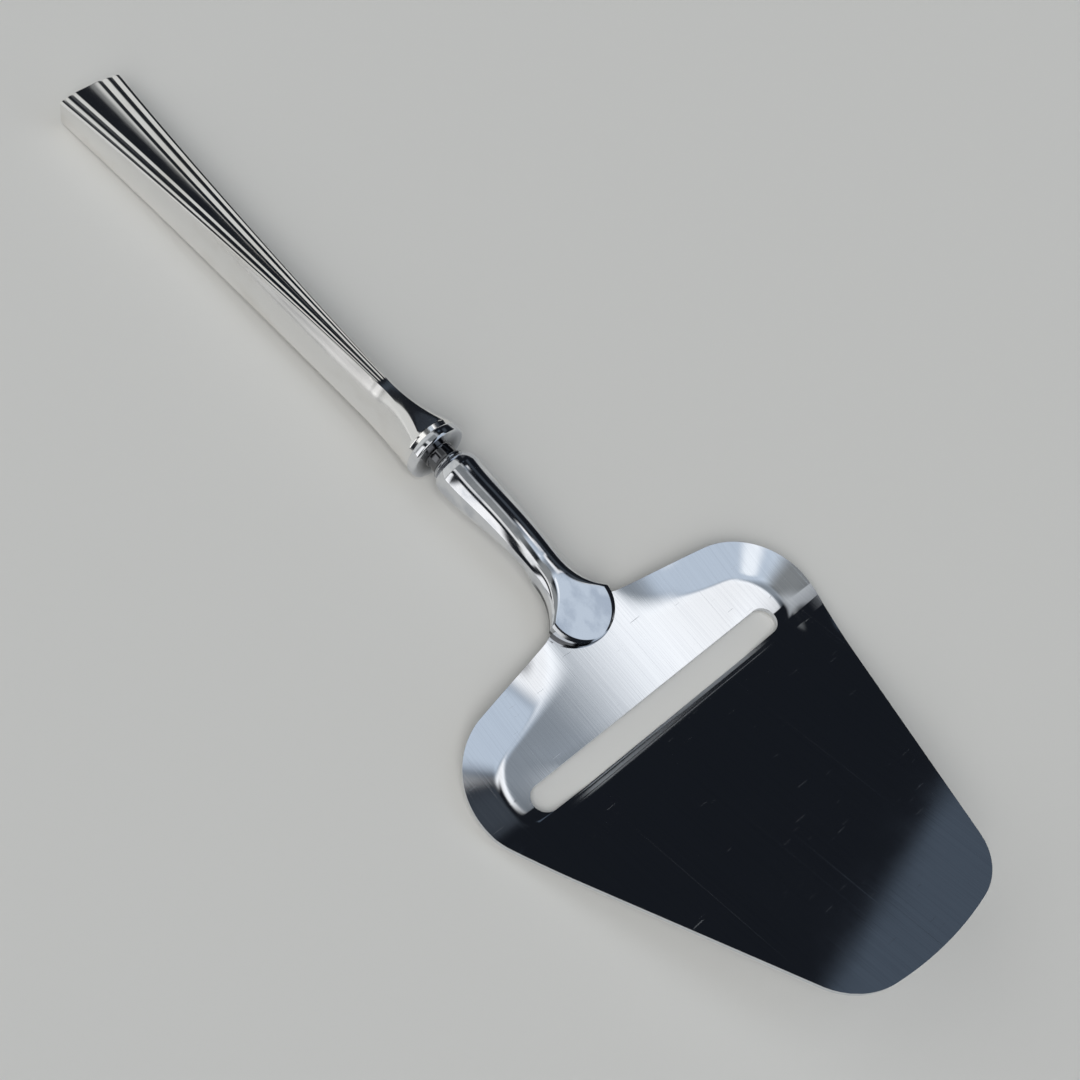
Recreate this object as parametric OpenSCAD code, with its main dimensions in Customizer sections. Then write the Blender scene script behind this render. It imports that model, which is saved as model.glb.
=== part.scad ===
// Cheese slicer: a hollow fluted handle of two soldered shells, a forged shank and a pressed steel blade.
// It lies as it rests on a table: the free end of the handle and the cutting lip touch z = 0.
// +X runs from the handle to the tip of the blade, +Z is up, and the slicer is symmetric about y = 0.

/* [Handle] */
// Length of the handle from its collar to the middle of its free end
handle_l = 100.8; // [85:0.1:120]
// Width of the handle at its free end
end_w = 13.9; // [11:0.1:16]
// Thickness of the handle at its free end
end_t = 6.2; // [5.6:0.1:7.5]
// How far the middle of the free end stands out past its corners
end_bow = 1.2; // [0.4:0.1:2.5]
// Distance from the collar to the waist
waist_at = 12.5; // [10:0.5:20]
// Width of the handle at its waist
waist_w = 8.6; // [7.6:0.1:9.6]
// Height of the fluted face above the axis at the waist
waist_rise = 4.2; // [3.6:0.1:4.8]
// Depth of the plain underside below the axis at the waist
waist_drop = 4.5; // [4:0.1:4.9]
// How far the seam of the shells lies below the axis at the collar
seam_collar = 2.4; // [1.8:0.1:2.8]
// How far the seam lies below the axis at the free end
seam_end = 0.8; // [0.3:0.1:1.4]
// How far the sides curve inwards between the waist and the free end, where 0 is straight
fan_curve = 0.4; // [0:0.05:0.7]
// Outside diameter of the handle at its collar
collar_d = 11.1; // [9.6:0.1:12]
// Length of the plain rim at the collar
collar_l = 0.9; // [0.5:0.1:2]
// Height of the small chamfer on the collar rim
collar_chamfer = 0.25; // [0.1:0.05:0.5]
// Wall of the two stamped shells
shell_wall = 0.7; // [0.5:0.05:1]

/* [Flutes] */
// Width of the fluted face at the free end
face_end_w = 13.5; // [10.2:0.1:13.8]
// Width of the fluted face at the waist
face_waist_w = 1.9; // [1.4:0.1:3]
// Width of the plain face on the underside at the free end
back_end_w = 12.9; // [10:0.1:13.4]
// Width of the plain face on the underside at the waist
back_waist_w = 4.8; // [3.6:0.1:6]
// Width of each of the two beads at the free end
bead_w = 2.1; // [1.6:0.05:2.3]
// Width of the rib along each edge of the face at the free end
rib_w = 1.2; // [0.8:0.05:1.5]
// Width of the broad middle flute at the free end
flute_w = 5.2; // [4:0.1:5.4]
// Depth of the grooves beside the beads at the free end
groove_d = 0.3; // [0.2:0.05:0.5]
// Depth of the broad middle flute at the free end
flute_d = 0.3; // [0.1:0.05:0.5]
// How far the edges of the fluted face stand above its middle at the free end, beside the flutes
face_dish = 0.5; // [0:0.05:0.7]
// Distance from the waist to the place where the flutes begin
flute_start = 1.2; // [0.5:0.1:6]
// Length over which the flutes rise to their full depth
flute_run = 1.0; // [0.5:0.1:4]

/* [Shank] */
// Height of the bolster's centre above the table
bolster_z = 6.3; // [5.9:0.1:7]
// Diameter of the flange that closes the handle
flange_d = 11.6; // [9.8:0.1:12]
// Thickness of the flange
flange_t = 2.0; // [1:0.1:2.5]
// Rounding of the flange's rim
flange_round = 0.5; // [0.2:0.05:0.7]
// Diameter of the neck in front of the flange
neck_d = 5.4; // [4.6:0.1:6.2]
// Length of the neck between the flange and the shank's shoulder
neck_l = 3.2; // [2.4:0.1:4]
// Diameter of the thin ring on the neck
ring_d = 6.6; // [6.2:0.1:7.4]
// Thickness of the thin ring
ring_t = 0.9; // [0.6:0.1:1.4]
// Diameter of the shank at its shoulder
shoulder_d = 8.9; // [7.6:0.1:9.4]
// Length of the rounding on the shoulder
shoulder_l = 2.6; // [1.5:0.1:4]
// Length of the shank from its shoulder to the corners of the pad
shank_l = 34.0; // [28:0.1:45]
// Width that the taper of the shank runs down to
shank_w = 4.9; // [4.2:0.1:6]
// Length of the flare from the shank into the pad
flare_l = 12; // [8:0.5:16]
// Width of the pad that lies on the blade
pad_w = 13.5; // [12:0.1:17]
// Length of the rounded front of the pad, ahead of its corners
pad_l = 6.2; // [5:0.1:8]
// Thickness of the pad at its front edge
pad_t = 1.3; // [1:0.1:1.8]
// Thickness of the shank at the corners of the pad, before the facet is cut
root_t = 2.9; // [2.6:0.1:3.3]
// Slope of the flat facet above the blade
facet_pitch = 12; // [9:0.5:14]
// Width of the tang inside the handle
tang_w = 3.6; // [3:0.1:4.2]
// Thickness of the tang
tang_t = 2.4; // [2:0.1:2.8]
// How far the middle of the tang lies below the axis
tang_drop = 0.8; // [0.4:0.1:1.2]
// Length of the tang
tang_l = 58; // [40:1:72]
// Clearance round the tang in the filler
tang_gap = 0.1; // [0.05:0.05:0.3]
// Clearance between the filler and the shells
filler_gap = 0.05; // [0.02:0.01:0.1]

/* [Blade] */
// Thickness of the sheet
blade_t = 1.0; // [0.8:0.05:1.4]
// Width of the tip between its corners, before they are rounded
tip_w = 35.1; // [30:0.1:44]
// How far the middle of the tip stands out past its corners
tip_bow = 2.6; // [1.5:0.1:5]
// Radius of the two corners at the tip
tip_corner_r = 11.5; // [8:0.1:14]
// Angle of each long side to the axis
side_taper = 20.6; // [16:0.1:25]
// Distance from the tip to the root of the rear edges
rear_at = 81.1; // [77:0.1:88]
// Angle by which each rear edge leans towards the tip
rear_sweep = 11.2; // [6:0.1:15]
// Radius of the two rear corners
rear_corner_r = 14.7; // [11:0.1:17]
// Radius of the hollow corners beside the tab
tab_fillet_r = 8.5; // [7:0.1:11]
// Width of the tab under the shank
tab_w = 4.6; // [4:0.1:5]
// Upward slope of the front plate, towards the tip
front_pitch = 14.9; // [11:0.1:18]
// Upward slope of the rear plate, towards the handle
rear_pitch = 6.2; // [4:0.1:8]
// Length of the bend between the two plates at the ends of the slot
bend_slot = 2.5; // [1.5:0.5:5]
// Length of the bend between the two plates at the sides of the blade
bend_side = 11; // [6:0.5:14]
// Height of the dished rim along the rear edges
rim_h = 1.2; // [0.8:0.1:2]
// Width of the dished rim up to the middle of its fold
rim_w = 6.5; // [5:0.1:8]

/* [Slot] */
// Distance from the tip to the cutting edge
slot_at = 56.4; // [51:0.1:59]
// Width of the slot along the axis
slot_w = 6.5; // [5.4:0.1:7.5]
// Length of the slot across the blade
slot_l = 58.6; // [48:0.1:64]
// Height of the rear plate above the cutting lip
lip_drop = 0.4; // [0.2:0.05:0.8]
// How far the cutting lip is pressed below the front plate
lip_press = 0.8; // [0.4:0.05:1.2]
// Length over which the pressed lip runs out into the front plate
press_l = 9; // [6:0.5:14]
// Width over which the pressed lip runs out beside the slot
press_side = 4; // [3:0.5:6]
// Width of the ground bevel on the cutting lip
bevel_w = 1.7; // [1:0.1:2.5]
// Thickness of the cutting edge
edge_t = 0.2; // [0.1:0.05:0.4]

/* [Hidden] */

// Stations along the slicer, measured back from the tip
pad_back = 0.1;
pad_at = rear_at - pad_back;
shoulder_at = pad_at + shank_l;
bolster_l = flange_t + neck_l;
joint_at = shoulder_at + bolster_l;
overall_l = joint_at + handle_l;
tip_x = overall_l / 2;
slot_rear = slot_at + slot_w;
slot_mid = slot_at + slot_w / 2;
slot_r = slot_w / 2;
slot_side = slot_l / 2 - slot_r;

// The handle leans until the lower edge of its free end reaches the table
handle_reach = norm([handle_l, end_t / 2]);
handle_pitch = asin(bolster_z / handle_reach) - atan2(end_t / 2, handle_l);

function mix(a, b, t) = a + (b - a) * t;
function clamp(t) = min(1, max(0, t));
function smooth(t) = let (s = clamp(t)) s * s * (3 - 2 * s);
function signed_pow(v, p) = sign(v) * pow(abs(v), p);

// Triangles of a grid of points stored row after row
function grid_tris(rows, cols, first) = [
    for (i = [0 : rows - 2], j = [0 : cols - 2])
        let (a = first + i * cols + j, b = a + cols)
            each [[a, a + 1, b], [a + 1, b + 1, b]]
];

// Triangles between a fine line of points and a coarse line with one point for every few of the fine ones
function ribbon(fine, coarse) =
    let (ratio = (len(fine) - 1) / (len(coarse) - 1))
    [
        for (m = [0 : len(coarse) - 2])
            each concat(
                [for (q = [0 : ratio - 1]) [fine[m * ratio + q], fine[m * ratio + q + 1], coarse[m]]],
                [[fine[(m + 1) * ratio], coarse[m + 1], coarse[m]]]
            )
    ];

function flipped(tris) = [for (t = tris) [t[0], t[2], t[1]]];

// Handle sections, at a distance h from the collar towards the free end
side_steps = 5;
bead_steps = 4;
flute_steps = 3;
face_steps = 2 * (2 * bead_steps + flute_steps);
outer_n = 2 * side_steps + face_steps + 1;
inner_n = 9;
// Angle at which the faces of the two shells meet the round collar, and how full their sides are
collar_edge = [28, 55];
side_bulge = [0.45, 1];
// How closely the bowed end keeps to the free end, and how square the hollow is there
bow_power = 8;
end_power = 0.7;
flute_from = waist_at + flute_start;
flute_full = flute_from + flute_run;
cavity_l = handle_l - end_bow - shell_wall;

function taper(h) = clamp((h - waist_at) / (handle_l - waist_at));
function fan(h) = let (t = taper(h)) t - fan_curve * t * (1 - t);
function half_w(h) = mix(waist_w, end_w, fan(h)) / 2;
function face_z(h, low) = mix(low ? waist_drop : waist_rise, end_t / 2, taper(h));
function face_half(h, low) =
    (low ? mix(back_waist_w, back_end_w, fan(h)) : mix(face_waist_w, face_end_w, fan(h))) / 2;
function flute_scale(h) = smooth((h - flute_from) / flute_run) * face_half(h, 0) / (face_end_w / 2);
function seam_drop(h) = mix(seam_collar, seam_end, h / handle_l);
function shell_h(h, low) = face_z(h, low) + (low ? -1 : 1) * seam_drop(h);
function collar_h(h, low) = collar_r(h) + (low ? -1 : 1) * seam_drop(h);
function collar_mix(h) = pow(clamp(1 - (h - collar_l) / (waist_at - collar_l)), 2);
function collar_r(h) = collar_d / 2 - collar_chamfer * clamp(1 - h / collar_l);

// Positions across the fluted face, from 1 to -1: a rib, a groove, a bead, a groove, a rib, the middle flute
// and back; the flute takes a smaller share of the face towards the waist
flute_power = 1.2;
waist_shares = [0.8, 0.31, 0.08];
rib_share = 1 - 2 * rib_w / face_end_w;
end_shares = [rib_share, rib_share - 2 * bead_w / face_end_w, flute_w / face_end_w];
function shares(h) = mix(waist_shares, end_shares, pow(taper(h), flute_power));
rib_steps = bead_steps / 2;
rib_from = rib_steps + bead_steps;
flute_first = rib_from + rib_steps;
function half_pos(h, k) =
    let (g = shares(h))
    k < rib_steps ? mix(1, g[0], k / rib_steps)
    : k < rib_from ? mix(g[0], g[1], (k - rib_steps) / bead_steps)
    : k < flute_first ? mix(g[1], g[2], (k - rib_from) / rib_steps)
    : g[2] * (1 - (k - flute_first) / flute_steps);
function face_pos(h, k) = k <= face_steps / 2 ? half_pos(h, k) : -half_pos(h, face_steps - k);

// Depth of the relief at a position across the face
function relief(h, t) =
    let (
        g = shares(h),
        p = abs(t),
        s = p > g[0] ? (1 - p) / (1 - g[0])
            : p > g[1] ? (2 * p - g[0] - g[1]) / (g[0] - g[1])
            : (p - g[2]) / (g[1] - g[2])
    )
    face_dish * (1 - t * t)
    + (p < g[2] ? flute_d * (1 - pow(p / g[2], 2)) : groove_d * s * s);

// Outside of a shell as [y, height from the seam], from one seam edge over the face to the other seam edge;
// low is 0 for the fluted upper shell and 1 for the plain lower shell
function side_pt(h, k, low) =
    let (t = k / side_steps, full = mix(1 - t, 1 - t * t, side_bulge[low]))
    [mix(face_half(h, low), half_w(h), full), shell_h(h, low) * t];
function face_pt(h, k, low) =
    let (t = face_pos(h, k))
    [face_half(h, low) * t, shell_h(h, low) - (1 - low) * flute_scale(h) * relief(h, t)];
function plain_pt(h, k, low) =
    k < side_steps ? side_pt(h, k, low)
    : k <= side_steps + face_steps ? face_pt(h, k - side_steps, low)
    : let (p = side_pt(h, outer_n - 1 - k, low)) [-p[0], p[1]];
function collar_angle(h, k, low) =
    let (from = (low ? 1 : -1) * asin(seam_drop(h) / collar_r(h)), edge = collar_edge[low])
    k < side_steps ? mix(from, edge, k / side_steps)
    : k <= side_steps + face_steps ? mix(edge, 180 - edge, (k - side_steps) / face_steps)
    : 180 - mix(from, edge, (outer_n - 1 - k) / side_steps);
function round_pt(h, k, low) =
    let (a = collar_angle(h, k, low))
    [collar_r(h) * cos(a), collar_r(h) * sin(a) + (low ? -1 : 1) * seam_drop(h)];
function outer_pt(h, k, low) =
    let (
        p = mix(plain_pt(h, k, low), round_pt(h, k, low), collar_mix(h)),
        back = h - end_bow * pow(p[0] / (end_w / 2), 2) * pow(h / handle_l, bow_power)
    )
    [-back, p[0], (low ? -1 : 1) * p[1] - seam_drop(back)];

// Inside of a shell, with a rounder section and no flutes; gap shrinks it for the filler
function inner_pt(h, m, gap, low) =
    let (
        a = 180 * m / (inner_n - 1),
        power = mix(1, end_power, taper(h)),
        depth = (1 - low) * flute_scale(h) * (groove_d + flute_d + face_dish),
        chord = sqrt(pow(collar_r(h), 2) - pow(seam_drop(h), 2)),
        y = mix(half_w(h), chord, collar_mix(h)) - shell_wall - gap,
        z = mix(shell_h(h, low) - depth, collar_h(h, low), collar_mix(h)) - shell_wall - gap
    )
    [-h, y * signed_pow(cos(a), power), (low ? -1 : 1) * z * pow(max(0, sin(a)), power) - seam_drop(h)];

// Distances of the sections from the collar
neck_rows = 6;
long_rows = 8;
stations = concat(
    [0],
    [for (i = [0 : neck_rows]) mix(collar_l, waist_at, i / neck_rows)],
    [flute_from, flute_full],
    [for (i = [1 : long_rows]) mix(flute_full, handle_l, i / long_rows)]
);
rows_n = len(stations);

module on_handle_axis() {
    translate([tip_x - joint_at, 0, bolster_z])
        rotate([0, -handle_pitch, 0])
            children();
}

// One stamped shell of the handle, open on its flat seam side and at the collar, closed at the free end
module half_shell(low) {
    squeeze = cavity_l / handle_l;
    outer = [for (h = stations, k = [0 : outer_n - 1]) outer_pt(h, k, low)];
    inner = [for (h = stations, m = [0 : inner_n - 1]) inner_pt(h * squeeze, m, 0, low)];
    outer_last = (rows_n - 1) * outer_n;
    inner_first = rows_n * outer_n;
    inner_last = inner_first + (rows_n - 1) * inner_n;
    outer_base = inner_first + rows_n * inner_n;
    inner_base = outer_base + outer_n - 2;
    // Points of the end walls on the seam, straight below the points of the last sections
    outer_feet = [
        for (k = [1 : outer_n - 2])
            let (p = outer[outer_last + k]) [p[0], p[1], -seam_drop(-p[0])]
    ];
    inner_feet = [
        for (m = [1 : inner_n - 2])
            let (p = inner[inner_last - inner_first + m]) [p[0], p[1], -seam_drop(-p[0])]
    ];
    outer_foot = [
        for (k = [0 : outer_n - 1])
            k == 0 || k == outer_n - 1 ? outer_last + k : outer_base + k - 1
    ];
    inner_foot = [
        for (m = [0 : inner_n - 1])
            m == 0 || m == inner_n - 1 ? inner_last + m : inner_base + m - 1
    ];
    outer_cap = concat(
        [[outer_last, outer_last + 1, outer_foot[1]]],
        [
            for (k = [1 : outer_n - 3])
                let (a = outer_last + k)
                    each [[a, a + 1, outer_foot[k]], [a + 1, outer_foot[k + 1], outer_foot[k]]]
        ],
        [[outer_last + outer_n - 2, outer_last + outer_n - 1, outer_foot[outer_n - 2]]]
    );
    inner_cap = concat(
        [[inner_last, inner_last + 1, inner_foot[1]]],
        [
            for (m = [1 : inner_n - 3])
                let (a = inner_last + m)
                    each [[a, a + 1, inner_foot[m]], [a + 1, inner_foot[m + 1], inner_foot[m]]]
        ],
        [[inner_last + inner_n - 2, inner_last + inner_n - 1, inner_foot[inner_n - 2]]]
    );
    collar_face = ribbon(
        [for (k = [0 : outer_n - 1]) k],
        [for (m = [0 : inner_n - 1]) inner_first + m]
    );
    end_seam = ribbon(outer_foot, inner_foot);
    side_seams = [
        for (i = [0 : rows_n - 2])
            let (
                a = i * outer_n,
                b = inner_first + i * inner_n,
                c = a + outer_n - 1,
                d = b + inner_n - 1
            )
                each [
                    [a, a + outer_n, b], [a + outer_n, b + inner_n, b],
                    [c, d, c + outer_n], [c + outer_n, d, d + inner_n]
                ]
    ];
    tris = concat(
        grid_tris(rows_n, outer_n, 0),
        flipped(grid_tris(rows_n, inner_n, inner_first)),
        outer_cap,
        flipped(inner_cap),
        flipped(collar_face),
        end_seam,
        side_seams
    );
    polyhedron(
        points = concat(outer, inner, outer_feet, inner_feet),
        faces = low ? flipped(tris) : tris,
        convexity = 6
    );
}

module handle_upper_shell() {
    color([0.86, 0.86, 0.84])
        on_handle_axis()
            half_shell(0);
}

module handle_lower_shell() {
    color([0.82, 0.82, 0.80])
        on_handle_axis()
            half_shell(1);
}

// Cement that fills the hollow handle and grips the tang
module handle_filler() {
    fill_l = cavity_l - filler_gap;
    squeeze = fill_l / handle_l;
    ring_n = 2 * (inner_n - 1);
    points = [
        for (h = stations, q = [0 : ring_n - 1])
            let (low = q > inner_n - 1 ? 1 : 0)
                inner_pt(h * squeeze, low ? ring_n - q : q, filler_gap, low)
    ];
    last = (rows_n - 1) * ring_n;
    walls = [
        for (i = [0 : rows_n - 2], q = [0 : ring_n - 1])
            let (a = i * ring_n + q, b = i * ring_n + (q + 1) % ring_n)
                each [[a, b, a + ring_n], [b, b + ring_n, a + ring_n]]
    ];
    caps = [for (q = [1 : ring_n - 2]) each [[0, q + 1, q], [last, last + q, last + q + 1]]];
    mouth = 1;
    pocket = [tang_l + tang_gap + mouth, tang_w + 2 * tang_gap, tang_t + 2 * tang_gap];
    color([0.45, 0.42, 0.38])
        on_handle_axis()
            difference() {
                polyhedron(points = points, faces = concat(walls, caps), convexity = 4);
                translate([mouth - pocket[0], -pocket[1] / 2, -tang_drop - pocket[2] / 2])
                    cube(pocket);
            }
}

// Height of the rear plate's top face, where the pad and the tab lie on each other
function rear_z(u) = blade_t + lip_drop + (u - slot_rear) * tan(rear_pitch);

// Shank from the shoulder to the pad: half width, lower face, half height and squareness of a section,
// with a flat facet that is cut from the front of the pad up to the ridge of the shank
shoulder_lip = 0.08;
height_power = 1.1;
pad_power = 0.3;
pad_spread = 0.7;
shoulder_z = bolster_z + bolster_l * sin(handle_pitch);
tab_end = rear_at + tab_fillet_r;
body_at = shoulder_at - shoulder_l;
function shank_run(u) = clamp((u - pad_at) / (body_at - pad_at));
function flare(u) = pow(clamp(1 - (u - pad_at) / flare_l), 3);
function pad_round(u) = u >= pad_at ? 1 : sqrt(max(0, 1 - pow((pad_at - u) / pad_l, 2)));
function shoulder_round(u) =
    let (s = clamp((u - body_at) / shoulder_l))
    mix(neck_d / shoulder_d + shoulder_lip, 1, sqrt(max(0, 1 - s * s)));
function shank_half_w(u) =
    pad_round(u) * shoulder_round(u)
    * (mix(shank_w, shoulder_d, shank_run(u)) + (pad_w - shank_w) * flare(u)) / 2;
function shank_half_t(u) = shoulder_round(u) * mix(root_t, shoulder_d, pow(shank_run(u), height_power)) / 2;
function shank_low(u) =
    let (s = clamp((u - tab_end) / (body_at - tab_end)))
    u <= tab_end ? rear_z(u) : mix(rear_z(u), shoulder_z - shoulder_d / 2, smooth(s));
function shank_mid(u) = shank_low(min(u, body_at)) + shank_half_t(min(u, body_at));
function facet_z(u) =
    let (front = pad_at - pad_l)
    rear_z(front) + pad_t + (u - front) * tan(rear_pitch + facet_pitch);
function shank_power(u) = mix(1, pad_power, pow(clamp(1 - (u - pad_at) / flare_l), pad_spread));

// Share of the flat lower face, which is whole where the blade lies under the shank
flat_fade = 3;
function shank_flat(u) = clamp((tab_end + flat_fade - u) / flat_fade);

pad_rows = 6;
flare_rows = 7;
body_rows = 5;
shoulder_rows = 5;
pad_first = 0.35;
shank_stations = concat(
    [for (i = [0 : pad_rows - 1]) pad_at - pad_l * cos(90 * (i + pad_first) / (pad_rows + pad_first))],
    [for (i = [0 : flare_rows]) pad_at + flare_l * i / flare_rows],
    [for (i = [1 : body_rows]) mix(pad_at + flare_l, body_at, i / body_rows)],
    [for (i = [1 : shoulder_rows]) body_at + shoulder_l * sin(90 * i / shoulder_rows)]
);

// Triangles that close a ring of n points by a strip between its upper and lower half
function ring_cap(first, n) = [
    for (q = [0 : n / 2 - 1])
        let (a = first + q, b = a + 1, c = first + n - q - 1, d = first + (n - q) % n)
            each concat(
                q < n / 2 - 1 ? [[a, b, c]] : [],
                q > 0 ? [[a, c, d]] : []
            )
];

module shank_body() {
    ring_n = 28;
    rows = len(shank_stations);
    last = (rows - 1) * ring_n;
    points = [
        for (u = shank_stations, q = [0 : ring_n - 1])
            let (
                a = 360 * q / ring_n,
                p = shank_power(u),
                flat = sin(a) < 0 ? shank_flat(u) : 0,
                lift = signed_pow(sin(a), p)
            )
                [
                    tip_x - u,
                    shank_half_w(u) * signed_pow(cos(a), mix(p, 1, flat)),
                    min(facet_z(u), shank_mid(u) + shank_half_t(u) * mix(lift, -1, flat))
                ]
    ];
    walls = [
        for (i = [0 : rows - 2], q = [0 : ring_n - 1])
            let (a = i * ring_n + q, b = i * ring_n + (q + 1) % ring_n)
                each [[a, b, a + ring_n], [b, b + ring_n, a + ring_n]]
    ];
    caps = concat(flipped(ring_cap(0, ring_n)), ring_cap(last, ring_n));
    polyhedron(points = points, faces = concat(walls, caps), convexity = 4);
}

// Flange, neck and thin ring, turned about the axis of the handle, with the tang behind them
module bolster() {
    neck_end = bolster_l + shoulder_l / 2;
    ring_at = flange_t + neck_l - ring_t;
    rotate([0, 90, 0])
        rotate_extrude($fn = 64) {
            square([neck_d / 2, neck_end]);
            square([flange_d / 2 - flange_round, flange_t]);
            translate([0, flange_round])
                square([flange_d / 2, flange_t - 2 * flange_round]);
            for (y = [flange_round, flange_t - flange_round])
                translate([flange_d / 2 - flange_round, y])
                    circle(r = flange_round, $fn = 32);
            translate([(ring_d - ring_t) / 2, ring_at])
                circle(d = ring_t, $fn = 32);
        }
    translate([-tang_l, -tang_w / 2, -tang_drop - tang_t / 2])
        cube([tang_l + flange_t / 2, tang_w, tang_t]);
}

module shank() {
    color([0.80, 0.81, 0.83]) {
        shank_body();
        on_handle_axis()
            bolster();
    }
}

// Outline of the blade as [distance from the tip, half width]
side_dir = [cos(side_taper), sin(side_taper)];
side_in = [sin(side_taper), -cos(side_taper)];
tip_vertex = [tip_bow, tip_w / 2];
tip_r = (pow(tip_w / 2, 2) + pow(tip_bow, 2)) / (2 * tip_bow);
function side_w(u) = tip_w / 2 + (u - tip_bow) * tan(side_taper);

// Corner at the tip: an arc inside the tip's own arc that ends along the side
corner_from = tip_vertex + tip_corner_r * side_in - [tip_r, 0];
corner_along = corner_from * side_dir;
corner_run = -corner_along
    - sqrt(pow(corner_along, 2) - corner_from * corner_from + pow(tip_r - tip_corner_r, 2));
tip_c = corner_from + corner_run * side_dir + [tip_r, 0];
tip_a_side = 90 + side_taper;
tip_a_front = 180 - atan2(tip_c[1], tip_r - tip_c[0]);
tip_a_mid = (tip_a_side + tip_a_front) / 2;

// Rear corner between the side and the rear edge
rear_w = (tip_w / 2 + (rear_at + tab_w / 2 * tan(rear_sweep) - tip_bow) * tan(side_taper))
    / (1 + tan(rear_sweep) * tan(side_taper));
rear_vertex = [rear_at - (rear_w - tab_w / 2) * tan(rear_sweep), rear_w];
corner_angle = 90 - side_taper + rear_sweep;
corner_bisector = 180 + side_taper + corner_angle / 2;
rear_c = rear_vertex
    + rear_corner_r / sin(corner_angle / 2) * [cos(corner_bisector), sin(corner_bisector)];
rear_a_side = 90 + side_taper;
rear_a_back = rear_sweep;
rear_a_mid = (rear_a_side + rear_a_back) / 2;

// Hollow corner between the rear edge and the tab
tab_angle = 90 + rear_sweep;
tab_run = tab_fillet_r / tan(tab_angle / 2);
tab_c = [rear_at + tab_run, tab_w / 2 + tab_fillet_r];

function on_arc(c, r, a) = c + r * [cos(a), sin(a)];
function arc_w(c, r, u) = c[1] + sqrt(r * r - pow(u - c[0], 2));
function edge_w(u) =
    u < on_arc(tip_c, tip_corner_r, tip_a_side)[0] ? arc_w(tip_c, tip_corner_r, u)
    : u < on_arc(rear_c, rear_corner_r, rear_a_side)[0] ? side_w(u)
    : arc_w(rear_c, rear_corner_r, u);

// Half outlines of the rear and of the tip, from the middle of the corner to the axis
arc_cols = 5;
edge_cols = 4;
fillet_cols = 5;
half_cols = arc_cols + edge_cols + fillet_cols + 2;
front_cols = half_cols - arc_cols;
fillet_start = tab_c + tab_fillet_r * [cos(180 + rear_sweep), sin(180 + rear_sweep)];
rear_start = on_arc(rear_c, rear_corner_r, rear_a_back);
rear_half = concat(
    [for (i = [0 : arc_cols]) on_arc(rear_c, rear_corner_r, mix(rear_a_mid, rear_a_back, i / arc_cols))],
    [for (i = [1 : edge_cols]) mix(rear_start, fillet_start, i / edge_cols)],
    [for (i = [1 : fillet_cols]) on_arc(tab_c, tab_fillet_r, mix(180 + rear_sweep, 270, i / fillet_cols))],
    [[tab_end, tab_w / 2], [tab_end, 0]]
);
tip_half = concat(
    [for (i = [0 : arc_cols]) on_arc(tip_c, tip_corner_r, mix(tip_a_mid, tip_a_front, i / arc_cols))],
    [for (i = [1 : front_cols]) on_arc([tip_r, 0], tip_r, mix(tip_a_front, 180, i / front_cols))]
);

// Half of the cross lines along the slot, from the side of the blade to the axis
strip_cols = 6;
function cross_w(u, j) =
    j <= strip_cols ? mix(edge_w(u), slot_side, j / strip_cols)
                    : slot_side * (1 - (j - strip_cols) / (half_cols - strip_cols));

// Point of a patch between a cross line at u (v = 0) and a half outline (v = 1), with a curved side
function patch_pt(u, outline, j, v) =
    let (
        base = [u, cross_w(u, j)],
        flat = mix(base, outline[j], v),
        side_u = mix(u, outline[0][0], v),
        side = [side_u, edge_w(side_u)],
        share = 1 - j / half_cols
    )
    flat + share * (side - mix([u, edge_w(u)], outline[0], v));
function strip_pt(a, j) =
    let (u = slot_mid + slot_r * cos(a), w = slot_side + slot_r * sin(a))
    [u, j <= strip_cols ? mix(edge_w(u), w, j / strip_cols) : w * (1 - (j - strip_cols) / half_cols)];

// Rows of the blade from the rear outline through the slot to the tip, as half rows
rear_rows = 9;
slot_rows = 6;
front_rows = 10;
row_power = 1.4;
function rear_row(v) = [for (j = [0 : half_cols]) patch_pt(slot_rear, rear_half, j, v)];
function slot_row(a) = [for (j = [0 : half_cols]) strip_pt(a, j)];
function front_row(v) = [for (j = [0 : half_cols]) patch_pt(slot_at, tip_half, j, v)];
half_rows = concat(
    [for (i = [0 : rear_rows]) rear_row(1 - i / rear_rows)],
    [for (i = [1 : slot_rows - 1]) slot_row(180 * i / slot_rows)],
    [front_row(0)],
    [for (i = [0 : front_rows]) front_row(mix(bevel_w / slot_at, 1, pow(i / front_rows, row_power)))]
);
blade_rows = len(half_rows);
blade_cols = 2 * half_cols + 1;
lip_row = rear_rows + slot_rows;

// Height of the pressed sheet: a front plate with a pressed lip, a rear plate with a dished rim,
// and a round bend between them that widens from the ends of the slot to the sides
function front_z(u) = blade_t + lip_press + (slot_at - u) * tan(front_pitch);
function bend_l(w) =
    mix(bend_slot, bend_side, clamp((abs(w) - slot_side) / (edge_w(slot_mid) - slot_side)));
function soft_max(a, b, k) = max(a, b) + pow(max(0, k - abs(a - b)), 2) / (4 * k);
function plate_z(u, w) =
    soft_max(
        front_z(u) - lip_press * press(u, w),
        rear_z(u),
        bend_l(w) / 2 * (tan(front_pitch) + tan(rear_pitch))
    );

// Distance inside the outline of the sides and the rear edges
function inside(u, w) =
    let (
        p = [u, abs(w)] - rear_c,
        turn = atan2(p[1], p[0]),
        side = rear_corner_r - p * [cos(rear_a_side), sin(rear_a_side)],
        back = rear_corner_r - p * [cos(rear_a_back), sin(rear_a_back)]
    )
    turn > rear_a_back && turn < rear_a_side ? rear_corner_r - norm(p) : min(side, back);

// Share of the pressing of the lip: full along the slot, and running out into the front plate and the ends
function press(u, w) =
    smooth(1 - (u < slot_at ? (slot_at - u) / press_l : (u - slot_at) / slot_r))
    * smooth(1 - (abs(w) - slot_side) / press_side);

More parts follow.
